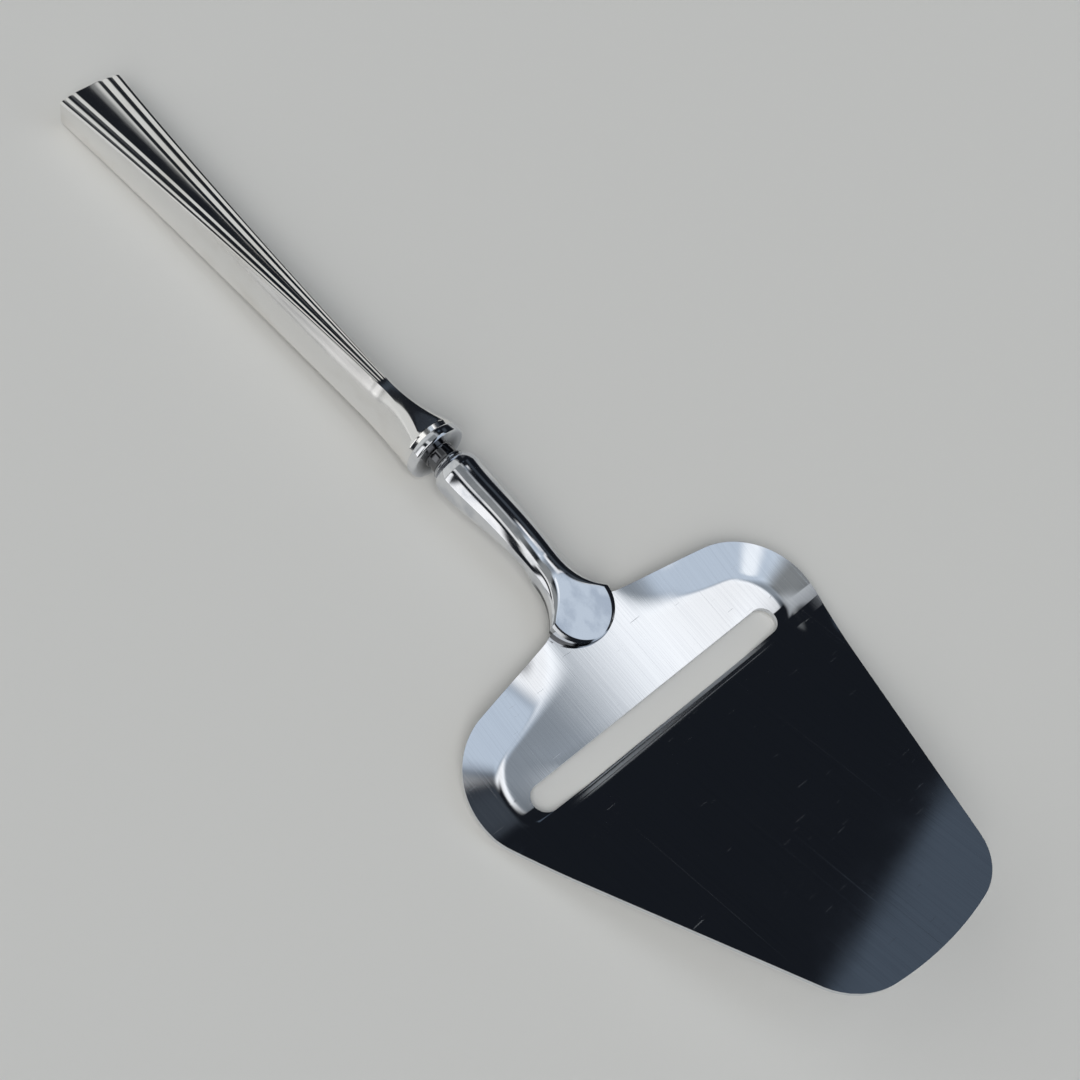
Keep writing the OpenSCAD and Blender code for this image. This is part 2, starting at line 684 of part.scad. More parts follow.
// Height share of the rim at a share t of its width: an even slope with a round fold at its foot
rim_fold = 0.3;
function fold(t) =
    t < 1 - rim_fold ? 1 - t : t > 1 + rim_fold ? 0 : pow(1 + rim_fold - t, 2) / (4 * rim_fold);

// The rim rises from the front plate to just behind the slot and leaves the pad free
rim_fade_front = 8;
rim_fade_rear = 1;
pad_margin = 0.5;
fade_from = slot_at - rim_fade_front;
fade_to = slot_rear + rim_fade_rear;
function rim_z(u, w) =
    rim_h * fold(max(0, inside(u, w) / rim_w))
    * smooth((u - fade_from) / (fade_to - fade_from))
    * smooth((abs(w) - pad_w / 2 - pad_margin) / pad_w);
function sheet_z(u, w) = plate_z(u, w) + rim_z(u, w);

module blade() {
    function row_pt(i, j) =
        let (p = half_rows[i][j <= half_cols ? j : blade_cols - 1 - j])
        [p[0], j <= half_cols ? p[1] : -p[1]];
    function is_lip(i, j) = i == lip_row && j > strip_cols && j < blade_cols - 1 - strip_cols;
    function is_cell(i, j) =
        i >= 0 && i < blade_rows - 1 && j >= 0 && j < blade_cols - 1
        && !(i >= rear_rows && i < lip_row && j >= strip_cols && j < blade_cols - 1 - strip_cols);
    count = blade_rows * blade_cols;
    top = [
        for (i = [0 : blade_rows - 1], j = [0 : blade_cols - 1])
            let (p = row_pt(i, j), z = sheet_z(p[0], p[1]))
                [tip_x - p[0], p[1], is_lip(i, j) ? z - blade_t + edge_t : z]
    ];
    bottom = [
        for (i = [0 : blade_rows - 1], j = [0 : blade_cols - 1])
            let (p = row_pt(i, j)) [tip_x - p[0], p[1], sheet_z(p[0], p[1]) - blade_t]
    ];
    function wall(a, b) = [[a, b, a + count], [b, b + count, a + count]];
    faces = [
        for (i = [0 : blade_rows - 2], j = [0 : blade_cols - 2])
            if (is_cell(i, j))
                let (
                    a = i * blade_cols + j,
                    b = a + 1,
                    c = a + blade_cols,
                    d = c + 1
                )
                    each concat(
                        [[a, c, b], [b, c, d]],
                        [[a + count, b + count, c + count], [b + count, d + count, c + count]],
                        is_cell(i - 1, j) ? [] : wall(a, b),
                        is_cell(i + 1, j) ? [] : wall(d, c),
                        is_cell(i, j - 1) ? [] : wall(c, a),
                        is_cell(i, j + 1) ? [] : wall(b, d)
                    )
    ];
    color([0.62, 0.64, 0.68])
        polyhedron(points = concat(top, bottom), faces = faces, convexity = 6);
}

handle_upper_shell();
handle_lower_shell();
handle_filler();
shank();
blade();
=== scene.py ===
import math

import bpy
from mathutils import Euler, Matrix, Vector


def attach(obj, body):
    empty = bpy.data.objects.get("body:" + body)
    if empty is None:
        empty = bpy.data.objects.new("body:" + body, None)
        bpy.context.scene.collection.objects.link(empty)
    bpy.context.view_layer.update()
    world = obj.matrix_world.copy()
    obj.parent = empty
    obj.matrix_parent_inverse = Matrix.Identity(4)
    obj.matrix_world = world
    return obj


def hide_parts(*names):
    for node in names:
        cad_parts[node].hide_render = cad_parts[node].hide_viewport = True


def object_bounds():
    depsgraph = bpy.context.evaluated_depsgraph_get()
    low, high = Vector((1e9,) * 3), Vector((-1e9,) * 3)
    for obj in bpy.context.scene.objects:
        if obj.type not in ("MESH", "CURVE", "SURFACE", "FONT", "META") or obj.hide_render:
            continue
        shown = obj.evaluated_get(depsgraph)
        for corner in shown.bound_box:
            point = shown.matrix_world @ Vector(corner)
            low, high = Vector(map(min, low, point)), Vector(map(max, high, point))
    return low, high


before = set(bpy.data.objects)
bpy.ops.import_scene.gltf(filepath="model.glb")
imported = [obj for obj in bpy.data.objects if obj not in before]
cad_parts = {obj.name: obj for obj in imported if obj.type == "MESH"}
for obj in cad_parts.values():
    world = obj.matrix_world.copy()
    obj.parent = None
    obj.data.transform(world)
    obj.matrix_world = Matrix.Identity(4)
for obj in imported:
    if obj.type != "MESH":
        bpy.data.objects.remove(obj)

mm = 0.001
tiny = 1e-9
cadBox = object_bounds()
tipX = cadBox[1].x / mm  # everything below is laid out in mm, back from the tip
print("frame loaded, tip at", round(tipX, 2), "mm")


# small helpers

meshWork = {
    "joinWithin": 0.002,   # points closer than this become one, mm
    "faceWeight": 60,      # how much large faces steer the shading
    "roundSegments": 2,
}


def mix(a, b, t):
    return a + (b - a) * t


def evenSteps(a, b, count):
    # from a to b, without a itself
    return [mix(a, b, i / count) for i in range(1, count + 1)]


def clamp(t):
    return min(1.0, max(0.0, t))


def smooth(t):
    s = clamp(t)
    return s * s * (3 - 2 * s)


def softLess(a, b, blend):
    # the lesser of two heights, with a rounded edge where they cross
    near = max(0.0, blend - abs(a - b))
    return min(a, b) - near ** 2 / (4 * blend)


def softMore(a, b, blend):
    # the greater of two heights, with a round valley where they cross
    near = max(0.0, blend - abs(a - b))
    return max(a, b) + near ** 2 / (4 * blend)


def signedPow(v, p):
    return math.copysign(abs(v) ** p, v)


def sine(a):
    return math.sin(math.radians(a))


def cosine(a):
    return math.cos(math.radians(a))


def tangent(a):
    return math.tan(math.radians(a))


def selectOnly(piece):
    bpy.ops.object.select_all(action="DESELECT")
    piece.select_set(True)
    bpy.context.view_layer.objects.active = piece


def addGrid(name, rows):
    # a grid primitive whose points are moved onto the rows of a surface
    rowCount, colCount = len(rows) - 1, len(rows[0]) - 1
    bpy.ops.object.select_all(action="DESELECT")
    bpy.ops.mesh.primitive_grid_add(x_subdivisions=colCount, y_subdivisions=rowCount, size=1)
    piece = bpy.context.active_object
    piece.name = piece.data.name = name
    for v in piece.data.vertices:
        i = round((v.co.y + 0.5) * rowCount)
        j = round((v.co.x + 0.5) * colCount)
        v.co = Vector(rows[i][j]) * mm
    return piece


def closeSeams(piece):
    selectOnly(piece)
    bpy.ops.object.mode_set(mode="EDIT")
    bpy.ops.mesh.select_all(action="SELECT")
    bpy.ops.mesh.remove_doubles(threshold=meshWork["joinWithin"] * mm)
    bpy.ops.mesh.normals_make_consistent(inside=False)
    bpy.ops.mesh.select_all(action="DESELECT")
    bpy.ops.object.mode_set(mode="OBJECT")


def applyModifier(piece, kind, **settings):
    selectOnly(piece)
    modifier = piece.modifiers.new(kind.lower(), kind)
    for key, value in settings.items():
        setattr(modifier, key, value)
    bpy.ops.object.modifier_apply(modifier=modifier.name)


def smoothShade(piece, angle):
    selectOnly(piece)
    bpy.ops.object.shade_smooth_by_angle(angle=math.radians(angle))
    applyModifier(piece, "WEIGHTED_NORMAL", keep_sharp=True, weight=meshWork["faceWeight"])


def placePiece(piece, node, finish):
    piece.data.materials.clear()
    piece.data.materials.append(finish)
    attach(piece, "root")
    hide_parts(node)
    print("placed", piece.name, len(piece.data.polygons), "faces")


# finishes

def addNode(tree, kind, sockets=None, **settings):
    node = tree.nodes.new(kind)
    for key, value in settings.items():
        setattr(node, key, value)
    for key, value in (sockets or {}).items():
        if isinstance(value, bpy.types.NodeSocket):
            tree.links.new(value, node.inputs[key])
        else:
            node.inputs[key].default_value = value
    return node


def startFinish(name, metallic, colour):
    finish = bpy.data.materials.new(name)
    finish.use_nodes = True
    shader = finish.node_tree.nodes["Principled BSDF"]
    shader.inputs["Metallic"].default_value = metallic
    shader.inputs["Base Color"].default_value = (*colour, 1)
    finish.diffuse_color = (*colour, 1)
    return finish, finish.node_tree, shader


def objectAxes(tree):
    place = addNode(tree, "ShaderNodeTexCoord").outputs["Object"]
    return addNode(tree, "ShaderNodeSeparateXYZ", {0: place}).outputs


def stretchedNoise(tree, scale, detail, turn=0):
    # noise on Object coordinates, in waves per metre along each axis, turned about the vertical in degrees
    place = addNode(tree, "ShaderNodeTexCoord").outputs["Object"]
    spread = addNode(tree, "ShaderNodeMapping", {"Vector": place, "Scale": scale,
                                                 "Rotation": (0, 0, math.radians(turn))})
    noise = addNode(tree, "ShaderNodeTexNoise", {"Vector": spread.outputs[0], "Scale": 1.0, "Detail": detail})
    return noise.outputs["Fac"]


def ranged(tree, value, fromLow, fromHigh, toLow, toHigh):
    # a soft step from one range onto another
    sockets = {"Value": value, "From Min": fromLow, "From Max": fromHigh, "To Min": toLow, "To Max": toHigh}
    return addNode(tree, "ShaderNodeMapRange", sockets, interpolation_type="SMOOTHSTEP").outputs["Result"]


def combined(tree, operation, a, b):
    return addNode(tree, "ShaderNodeMath", {0: a, 1: b}, operation=operation).outputs[0]


def product(tree, first, *others):
    for value in others:
        first = combined(tree, "MULTIPLY", first, value)
    return first


def blended(tree, a, b, share):
    return combined(tree, "ADD", product(tree, a, share), product(tree, b, 1 - share))


def mixedValue(tree, factor, a, b):
    return addNode(tree, "ShaderNodeMix", {0: factor, 2: a, 3: b}, data_type="FLOAT").outputs[0]


def mixedColour(tree, factor, a, b):
    node = addNode(tree, "ShaderNodeMix", data_type="RGBA")
    tree.links.new(factor, node.inputs["Factor"])
    for socket, value in (("A", a), ("B", b)):
        target = next(s for s in node.inputs if s.name == socket and s.type == "RGBA")
        if isinstance(value, bpy.types.NodeSocket):
            tree.links.new(value, target)
        else:
            target.default_value = (*value, 1)
    return next(s for s in node.outputs if s.type == "RGBA")


def vectorMath(tree, operation, sockets):
    return addNode(tree, "ShaderNodeVectorMath", sockets, operation=operation).outputs[0]


def addBump(tree, shader, height, strength, distance):
    sockets = {"Height": height, "Strength": strength, "Distance": distance * mm}
    bump = addNode(tree, "ShaderNodeBump", sockets)
    tree.links.new(bump.outputs["Normal"], shader.inputs["Normal"])


def fromAxis(tree, axes):
    # distance along the handle's axis from its joint, and height over that axis
    along = combined(tree, "SUBTRACT", axes["X"], (tipX - jointAt) * mm)
    rise = combined(tree, "SUBTRACT", axes["Z"], bolster["height"] * mm)
    rise = combined(tree, "SUBTRACT", rise, product(tree, along, math.sin(handlePitch)))
    return along, rise


# in each look a noise is (waves per metre along each axis, detail, turn if any),
# and a bump is (strength, height in mm)
silverLook = {
    "colour": (0.90, 0.89, 0.875),
    "tarnish": (0.70, 0.66, 0.60), "tarnishRange": (0.5, 0.78), "tarnishMost": 0.4,
    "clouds": ((90, 160, 160), 4), "scratches": ((140, 5200, 5200), 2),
    "cloudShare": 0.55, "wearRange": (0.3, 0.7), "roughness": (0.09, 0.17), "bump": (0.012, 0.05),
    # colour and strength of the painted shade on the lower shell
    "shade": (0.16, 0.15, 0.14), "shadeMost": 0.75,
    "under": (-3.9, -1.4),     # heights over the handle's axis over which the painted shade fades in, mm
}


def silverFinish(name, under):
    look = silverLook
    finish, tree, shader = startFinish(name, 1.0, look["colour"])
    clouds = stretchedNoise(tree, *look["clouds"])
    tarnish = ranged(tree, clouds, *look["tarnishRange"], 0.0, look["tarnishMost"])
    colour = mixedColour(tree, tarnish, look["colour"], look["tarnish"])
    if under:  # painted shade, darker towards the table
        rise = fromAxis(tree, objectAxes(tree))[1]
        low, high = (h * mm for h in look["under"])
        # painted shade: the lower shell gets darker towards the table, below the handle's axis
        darkerTone = ranged(tree, rise, low, high, look["shadeMost"], 0.0)
        colour = mixedColour(tree, darkerTone, colour, look["shade"])
    tree.links.new(colour, shader.inputs["Base Color"])
    scratches = stretchedNoise(tree, *look["scratches"])
    wear = blended(tree, clouds, scratches, look["cloudShare"])
    tree.links.new(ranged(tree, wear, *look["wearRange"], *look["roughness"]), shader.inputs["Roughness"])
    addBump(tree, shader, scratches, *look["bump"])
    return finish


steelLook = {
    "colour": (0.80, 0.81, 0.83),
    "smudge": (0.62, 0.64, 0.68), "smudgeRange": (0.40, 0.64),
    "clouds": ((210, 320, 320), 4), "scratches": ((240, 4200, 4200), 2, 6),
    "cloudShare": 0.6, "wearRange": (0.32, 0.7), "roughness": (0.05, 0.12), "bump": (0.01, 0.05),
    "paintedShade": (0.045, 0.045, 0.048),
    "foot": (0.80, 0.98), "footMost": 0.9,    # painted shade on the wall of the pad where it meets the blade, by height over the blade, mm
    "footFade": (-1, 2),                      # where it starts, from the end of the tab, mm
    "neck": (2.7, 5.6), "neckMost": 0.85,     # painted shade in the neck of the bolster, by radius, mm
    "neckFades": (0.2, 1.0, 0.4),             # over what it fades at the flange, to the ring and past it
    "neckLeft": 0.3,                          # share that is left at the ring
}


def steelFinish(footSlope, footHeight):
    look = steelLook
    finish, tree, shader = startFinish("polishedSteel", 1.0, look["colour"])
    clouds = stretchedNoise(tree, *look["clouds"])
    smudge = ranged(tree, clouds, *look["smudgeRange"], 0.0, 1.0)
    colour = mixedColour(tree, smudge, look["colour"], look["smudge"])
    axes = objectAxes(tree)
    above = combined(tree, "SUBTRACT", axes["Z"], product(tree, axes["X"], footSlope))
    low, high = (footHeight + h * mm for h in look["foot"])
    tabFrom, tabTo = ((tipX - tabEnd + x) * mm for x in look["footFade"])
    # painted shade on the wall of the pad, in its joint with the blade
    foot = product(tree, ranged(tree, above, low, high, look["footMost"], 0.0),
                   ranged(tree, axes["X"], tabFrom, tabTo, 0, 1))
    colour = mixedColour(tree, foot, colour, look["paintedShade"])
    along, rise = fromAxis(tree, axes)
    square = combined(tree, "ADD", product(tree, axes["Y"], axes["Y"]), product(tree, rise, rise))
    radius = combined(tree, "POWER", square, 0.5)
    inner, outer = (r * mm for r in look["neck"])
    flange, ring = bolster["flangeThick"] * mm, bolsterLength * mm
    atFlange, atRing, pastRing = (f * mm for f in look["neckFades"])
    # painted shade in the recessed neck between flange and ring, darkest near the axis
    neck = product(tree, ranged(tree, radius, inner, outer, look["neckMost"], 0.0),
                   ranged(tree, along, flange - atFlange, flange, 0, 1),
                   ranged(tree, along, ring - atRing, ring, 1, look["neckLeft"]),
                   ranged(tree, along, ring, ring + pastRing, 1, 0))
    colour = mixedColour(tree, neck, colour, look["paintedShade"])
    tree.links.new(colour, shader.inputs["Base Color"])
    scratches = stretchedNoise(tree, *look["scratches"])
    wear = blended(tree, clouds, scratches, look["cloudShare"])
    tree.links.new(ranged(tree, wear, *look["wearRange"], *look["roughness"]), shader.inputs["Roughness"])
    addBump(tree, shader, scratches, *look["bump"])
    return finish


bladeLook = {
    "colour": (0.75, 0.77, 0.80), "darkerTone": (0.69, 0.71, 0.745), "dullRange": (0.42, 0.66),
    "fineLines": ((50, 7000, 50), 2), "coarseLines": ((16, 2800, 16), 2), "fineShare": 0.6,
    "clouds": ((110, 110, 110), 4), "cloudShare": 0.6, "wearRange": (0.32, 0.7), "roughness": (0.03, 0.07),
    "marks": ((10, 3200, 10), 1), "markRange": (0.70, 0.76), "markMost": 0.55,
    "stray": ((3600, 150, 150), 1), "strayTurns": (24, -38, 71), "strayRange": (0.785, 0.81),
    "scratchRoughness": 0.26,
    "grinding": ((2300, 9, 9), 1), "grindingRange": (0.36, 0.6), "lipRoughness": (0.07, 0.40),
    "lipFades": (0.1, 0.5), "lipEnds": 8,     # how the ground band on the lip runs out, mm
    "bump": (0.22, 0.008),                    # lengthwise brushing
}


def bladeFinish():
    look = bladeLook
    finish, tree, shader = startFinish("bladeSteel", 1.0, look["colour"])
    fineLines = stretchedNoise(tree, *look["fineLines"])
    coarseLines = stretchedNoise(tree, *look["coarseLines"])
    clouds = stretchedNoise(tree, *look["clouds"])
    streaks = blended(tree, fineLines, coarseLines, look["fineShare"])
    darkerTone = ranged(tree, streaks, *look["dullRange"], 0.0, 1.0)
    tree.links.new(mixedColour(tree, darkerTone, look["colour"], look["darkerTone"]), shader.inputs["Base Color"])
    marks = ranged(tree, stretchedNoise(tree, *look["marks"]), *look["markRange"], 0.0, look["markMost"])
    for turn in look["strayTurns"]:  # short stray scratches
        stray = stretchedNoise(tree, *look["stray"], turn)
        marks = combined(tree, "MAXIMUM", marks, ranged(tree, stray, *look["strayRange"], 0.0, 1.0))
    worn = blended(tree, clouds, streaks, look["cloudShare"])
    plain = ranged(tree, worn, *look["wearRange"], *look["roughness"])
    rough = mixedValue(tree, marks, plain, look["scratchRoughness"])
    axes = objectAxes(tree)
    fadeIn, fadeOut = (f * mm for f in look["lipFades"])
    lipFrom = (tipX - blade["slotAt"]) * mm - fadeIn
    lipTo = (tipX - blade["slotAt"] + blade["bevel"]) * mm
    across = combined(tree, "ABSOLUTE", axes["Y"], 0.0)
    ground = product(tree, ranged(tree, axes["X"], lipFrom - fadeIn, lipFrom, 0, 1),
                     ranged(tree, axes["X"], lipTo - fadeOut, lipTo, 1, 0),
                     ranged(tree, across, (slotSide - look["lipEnds"]) * mm, slotSide * mm, 1, 0))
    grinding = stretchedNoise(tree, *look["grinding"])
    matte = ranged(tree, grinding, *look["grindingRange"], *look["lipRoughness"])
    tree.links.new(mixedValue(tree, ground, rough, matte), shader.inputs["Roughness"])
    addBump(tree, shader, streaks, *look["bump"])
    return finish


cementLook = {
    "colour": (0.45, 0.42, 0.38), "dark": (0.36, 0.33, 0.29), "pale": (0.54, 0.51, 0.46),
    "grains": ((900, 900, 900), 5), "grainRange": (0.3, 0.7), "roughness": (0.75, 0.95), "bump": (0.3, 0.3),
}


def cementFinish():
    look = cementLook
    finish, tree, shader = startFinish("roughCement", 0.0, look["colour"])
    grains = stretchedNoise(tree, *look["grains"])
    tree.links.new(mixedColour(tree, grains, look["dark"], look["pale"]), shader.inputs["Base Color"])
    tree.links.new(ranged(tree, grains, *look["grainRange"], *look["roughness"]), shader.inputs["Roughness"])
    addBump(tree, shader, grains, *look["bump"])
    return finish


# blade: a pressed sheet with a slot, two sloping plates and a dished rear rim

blade = {
    "thick": 1.0, "tipWidth": 35.1, "tipBow": 2.6, "tipCorner": 11.5, "sideTaper": 20.6,
    "rearAt": 81.1, "rearSweep": 11.2, "rearCorner": 14.7, "tabFillet": 8.5, "tabWidth": 4.6,
    "frontPitch": 14.9, "rearPitch": 6.2, "bendSlot": 2.5, "bendIn": 6.0, "bendSide": 11.0,
    "rimHeight": 1.2, "rimWidth": 6.5, "rimFold": 0.16,
    "rimFadeFront": 12.0, "rimFadeRear": 1.0, "padMargin": 0.5, "padFade": 21.0,
    "frontFrom": 56.4, "rearFrom": 62.9, "lipDrop": 0.4,      # where the heights of the two plates start
    "slotAt": 57.1, "slotWidth": 5.2, "slotLength": 58.6, "bevel": 2.0, "edge": 0.2, "onEdge": 0.01,
    "lipRunOut": 9.0, "lipPress": 0.8, "pressLength": 9.0, "pressIn": 6.0, "pressSide": 8.0,
    "lipRound": 0.14, "lipSharp": 12, "lipBand": (0.6, 1.3), "lipSkew": 0.3,    # rounding above the bevel
    "rounding": 0.24, "sharp": 50, "edgeClear": 0.3, "skew": 0.5,               # rounding of other edges
    "shadeAngle": 14, "widthShare": 0.9997,                   # a hair narrower, to stay in the CAD box
    "arcCols": 24, "edgeCols": 16, "filletCols": 16, "stripCols": 26,
    "rearRows": 56, "slotRows": 24, "frontRows": 64, "rowPower": 1.4,
}
padWidth = 13.5
slotRear = blade["slotAt"] + blade["slotWidth"]
slotMid = blade["slotAt"] + blade["slotWidth"] / 2
slotRadius = blade["slotWidth"] / 2
slotSide = blade["slotLength"] / 2 - slotRadius


def onArc(centre, radius, angle):
    return Vector((centre[0] + radius * cosine(angle), centre[1] + radius * sine(angle)))


def arcPoints(centre, radius, start, stop, count, first=0):
    return [onArc(centre, radius, mix(start, stop, i / count)) for i in range(first, count + 1)]


def bladeOutline():
    # corner arcs of half the outline, as (distance from the tip, half width)
    b = blade
    halfTip, bow, taper, sweep = b["tipWidth"] / 2, b["tipBow"], b["sideTaper"], b["rearSweep"]
    sideDir = Vector((cosine(taper), sine(taper)))
    sideIn = Vector((sine(taper), -cosine(taper)))
    tipRadius = (halfTip ** 2 + bow ** 2) / (2 * bow)
    start = Vector((bow, halfTip)) + b["tipCorner"] * sideIn - Vector((tipRadius, 0))
    reach = start.dot(sideDir)
    run = -reach - math.sqrt(reach ** 2 - start.dot(start) + (tipRadius - b["tipCorner"]) ** 2)
    tipCentre = start + run * sideDir + Vector((tipRadius, 0))
    halfTab = b["tabWidth"] / 2
    rearWidth = (halfTip + (b["rearAt"] + halfTab * tangent(sweep) - bow) * tangent(taper)) / (
        1 + tangent(sweep) * tangent(taper))
    vertex = Vector((b["rearAt"] - (rearWidth - halfTab) * tangent(sweep), rearWidth))
    corner = 90 - taper + sweep
    rearCentre = onArc(vertex, b["rearCorner"] / sine(corner / 2), 180 + taper + corner / 2)
    tabCentre = Vector((b["rearAt"] + b["tabFillet"] / tangent((90 + sweep) / 2), halfTab + b["tabFillet"]))
    return tipRadius, tipCentre, rearCentre, tabCentre


tipRadius, tipCentre, rearCentre, tabCentre = bladeOutline()
tabEnd = blade["rearAt"] + blade["tabFillet"]
sideAngle = 90 + blade["sideTaper"]


def arcWidth(centre, radius, u):
    return centre[1] + math.sqrt(max(0.0, radius ** 2 - (u - centre[0]) ** 2))


def edgeWidth(u):
    if u < onArc(tipCentre, blade["tipCorner"], sideAngle)[0]:
        return arcWidth(tipCentre, blade["tipCorner"], u)
    if u < onArc(rearCentre, blade["rearCorner"], sideAngle)[0]:
        return blade["tipWidth"] / 2 + (u - blade["tipBow"]) * tangent(blade["sideTaper"])
    return arcWidth(rearCentre, blade["rearCorner"], u)


def frontHeight(u):
    return blade["thick"] + blade["lipPress"] + (blade["frontFrom"] - u) * tangent(blade["frontPitch"])


def rearHeight(u):
    return blade["thick"] + blade["lipDrop"] + (u - blade["rearFrom"]) * tangent(blade["rearPitch"])


def insideRim(u, w):
    # distance inside the sides and the rear edges
    sweep = blade["rearSweep"]
    p = Vector((u, abs(w))) - rearCentre
    turn = math.degrees(math.atan2(p[1], p[0]))
    if sweep < turn < sideAngle:
        return blade["rearCorner"] - p.length
    return blade["rearCorner"] - max(p.dot(onArc((0, 0), 1, sideAngle)), p.dot(onArc((0, 0), 1, sweep)))


def pressShare(u, w):
    # full along the slot, running out into the front plate and past the ends of the slot
    ahead = blade["slotAt"] - u
    along = ahead / blade["pressLength"] if ahead > 0 else -ahead / slotRadius
    past = abs(w) - slotSide + blade["pressIn"]
    return smooth(1 - along) * smooth(1 - past / (blade["pressIn"] + blade["pressSide"]))


def rimFold(t):
    # an even slope with a round fold at its foot
    k = blade["rimFold"]
    if t < 1 - k:
        return 1 - t
    return 0.0 if t > 1 + k else (1 + k - t) ** 2 / (4 * k)


def bendLength(w):
    start = slotSide - blade["bendIn"]
    side = clamp((abs(w) - start) / (edgeWidth(slotMid) - start))
    return mix(blade["bendSlot"], blade["bendSide"], side)


def sheetHeight(u, w):
    pressed = max(blade["thick"], frontHeight(u) - blade["lipPress"] * pressShare(u, w))
    kink = tangent(blade["frontPitch"]) + tangent(blade["rearPitch"])
    plate = softMore(pressed, rearHeight(u), bendLength(w) / 2 * kink)
    fadeFrom, fadeTo = blade["slotAt"] - blade["rimFadeFront"], slotRear + blade["rimFadeRear"]
    rim = blade["rimHeight"] * rimFold(max(0.0, insideRim(u, w) / blade["rimWidth"]))
    rim *= smooth((u - fadeFrom) / (fadeTo - fadeFrom))
    rim *= smooth((abs(w) - padWidth / 2 - blade["padMargin"]) / blade["padFade"])
    return plate + rim


def bladeRows():
    # rows from the rear edge through the slot to the tip, each mirrored about the axis
    b = blade
    tipCorner, rearCorner, sweep = b["tipCorner"], b["rearCorner"], b["rearSweep"]
    tipFront = 180 - math.degrees(math.atan2(tipCentre[1], tipRadius - tipCentre[0]))
    arcs, edges, fillets = b["arcCols"], b["edgeCols"], b["filletCols"]
    cols = arcs + edges + fillets + 2
    rearStart = onArc(rearCentre, rearCorner, sweep)
    filletStart = onArc(tabCentre, b["tabFillet"], 180 + sweep)
    rearHalf = arcPoints(rearCentre, rearCorner, (sideAngle + sweep) / 2, sweep, arcs)
    rearHalf += [rearStart.lerp(filletStart, i / edges) for i in range(1, edges + 1)]
    rearHalf += arcPoints(tabCentre, b["tabFillet"], 180 + sweep, 270, fillets, 1)
    rearHalf += [Vector((tabEnd, b["tabWidth"] / 2)), Vector((tabEnd, 0))]
    tipHalf = arcPoints(tipCentre, tipCorner, (sideAngle + tipFront) / 2, tipFront, arcs)
    tipHalf += arcPoints((tipRadius, 0), tipRadius, tipFront, 180, cols - arcs, 1)
    strip = b["stripCols"]

    def crossWidth(u, j):
        if j <= strip:
            return mix(edgeWidth(u), slotSide, j / strip)
        return slotSide * (1 - (j - strip) / (cols - strip))

    def patchRow(u, outline, v):
        sideU = mix(u, outline[0][0], v)
        side = Vector((sideU, edgeWidth(sideU))) - Vector((u, edgeWidth(u))).lerp(outline[0], v)
        return [Vector((u, crossWidth(u, j))).lerp(outline[j], v) + (1 - j / cols) * side
                for j in range(cols + 1)]

    def slotRow(angle):
        u, w = slotMid + slotRadius * cosine(angle), slotSide + slotRadius * sine(angle)
        return [Vector((u, mix(edgeWidth(u), w, j / strip) if j <= strip else w * (1 - (j - strip) / cols)))
                for j in range(cols + 1)]

    half = [patchRow(slotRear, rearHalf, 1 - i / b["rearRows"]) for i in range(b["rearRows"] + 1)]
    half += [slotRow(180 * i / b["slotRows"]) for i in range(1, b["slotRows"])]
    half += [patchRow(b["slotAt"], tipHalf, 0)]
    for i in range(b["frontRows"] + 1):  # from the top of the bevel to the tip
        share = (i / b["frontRows"]) ** b["rowPower"]
        half.append(patchRow(b["slotAt"], tipHalf, mix(b["bevel"] / b["slotAt"], 1, share)))
    rows = []
    for line in half:
        flat = [(p[0], p[1]) for p in line] + [(p[0], -p[1]) for p in reversed(line[:-1])]
        rows.append([(tipX - u, w * b["widthShare"], sheetHeight(u, w)) for u, w in flat])
    return rows


def inSlot(x, y):
    u, w = tipX - x / mm, max(0.0, abs(y / mm) - slotSide)
    return math.hypot(u - slotMid, w) < slotRadius


def aheadOfSlot(point):
    return blade["slotAt"] - (tipX - point.x / mm)


def alongLip(a, b):
    # along the top of the ground bevel
    middle = (a + b) / 2
    low, high = (share * blade["bevel"] for share in blade["lipBand"])
    onLip = low < aheadOfSlot(middle) < high and abs(middle.y) < slotSide * mm
    return onLip and abs(a.x - b.x) < blade["lipSkew"] * mm


def alongSheet(a, b):
    # along the top or the bottom of the sheet, away from the cutting edge
    middle = (a + b) / 2
    nearEdge = abs(aheadOfSlot(middle)) < blade["edgeClear"] and abs(middle.y) < (slotSide + slotRadius) * mm
    return not nearEdge and abs(a.z - b.z) < blade["skew"] * mm


def roundEdges(piece, angle, width, wanted):
    selectOnly(piece)
    bpy.ops.object.mode_set(mode="EDIT")
    bpy.ops.mesh.select_all(action="DESELECT")
    bpy.ops.mesh.edges_select_sharp(sharpness=math.radians(angle))
    bpy.ops.object.mode_set(mode="OBJECT")
    points = piece.data.vertices
    for edge in piece.data.edges:
        if edge.select and not wanted(*(points[i].co for i in edge.vertices)):
            edge.select = False
    bpy.ops.object.mode_set(mode="EDIT")
    bpy.ops.mesh.bevel(offset=width * mm, segments=meshWork["roundSegments"], affect="EDGES",
                       clamp_overlap=True)
    bpy.ops.object.mode_set(mode="OBJECT")


